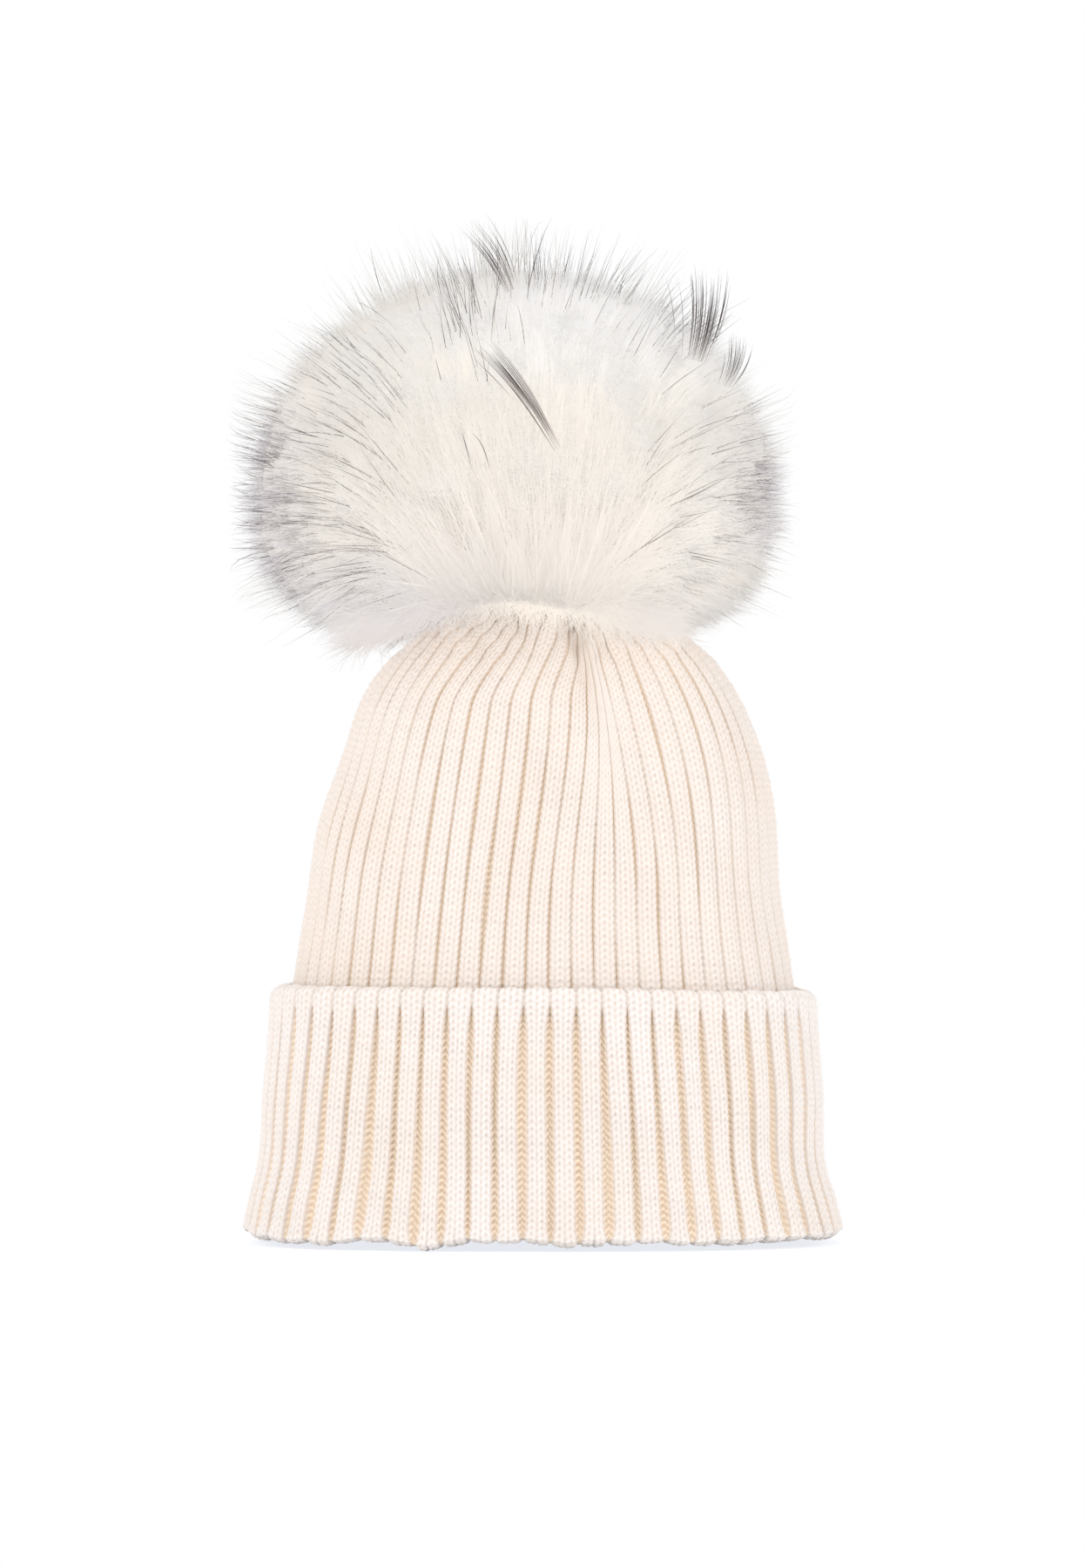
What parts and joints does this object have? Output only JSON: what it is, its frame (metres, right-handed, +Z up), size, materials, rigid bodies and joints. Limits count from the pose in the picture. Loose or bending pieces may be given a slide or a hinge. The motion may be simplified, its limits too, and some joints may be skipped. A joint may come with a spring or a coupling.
{
  "type": "pom pom beanie",
  "caption": "Rib-knit winter hat with a deep turned-up cuff and a large detachable fur pom pom held on by a snap.",
  "frame": {"origin": "middle of the rim, on the surface that the hat stands on", "axes": "+Z up through the crown and the pom pom, X across the hat with +X on the right as seen from the front, front facing -Y"},
  "size_m": [0.2006, 0.1798, 0.3311],
  "materials": {
    "knit": "matt cream rib knit",
    "fur": "soft cream and white fur",
    "guard_hair": "long fur hair with grey-brown tips",
    "skin": "matt pelt skin",
    "leather": "natural leather",
    "felt": "pale felt",
    "stuffing": "white polyester fill",
    "thread": "waxed sewing thread",
    "label": "blank satin ribbon",
    "snap_metal": "nickel plated",
    "spring_metal": "spring wire"
  },
  "bodies": {
    "hat": {"knit_body": "knit", "turned_up_cuff": "knit", "cuff_tacks": "knit", "back_seam": "knit", "label_thread": "thread", "crown_drawstring": "knit", "crown_patch": "felt", "stud_cap": "snap_metal", "snap_stud": "snap_metal"},
    "label": {"care_label": "label"},
    "ring": {"spring_ring": "spring_metal"},
    "socket": {"snap_socket": "snap_metal"},
    "shank": {"socket_shank": "thread"},
    "pom_pom": {"leather_disc": "leather", "disc_stitches": "thread", "pelt_drawstring": "thread", "pelt_skin": "skin", "stuffing": "stuffing", "fur_wool": "fur", "guard_tufts": "guard_hair"}
  },
  "joints": [
    {"name": "label_swing", "type": "hinge", "parent": "hat", "child": "label", "pos_m": [0.0151, 0.05155, 0.062], "axis": [1, 0, 0], "range_deg": [-150, 0]},
    {"name": "pom_lift", "type": "slide", "parent": "hat", "child": "ring", "axis": [0, 0, 1], "range_m": [0, 0.06]},
    {"name": "pom_turn", "type": "hinge", "parent": "ring", "child": "socket", "pos_m": [0.0035, 0, 0.21256], "axis": [0, 0, 1], "continuous": true},
    {"name": "pom_nod", "type": "hinge", "parent": "socket", "child": "shank", "pos_m": [0.0035, 0, 0.21685], "axis": [1, 0, 0], "range_deg": [-8, 8], "stiffness_Nm_per_rad": 0.5},
    {"name": "pom_sway", "type": "hinge", "parent": "shank", "child": "pom_pom", "pos_m": [0.0035, 0, 0.21775], "axis": [0, 1, 0], "range_deg": [-8, 8], "stiffness_Nm_per_rad": 0.5, "springref_deg": 1.32}
  ]
}
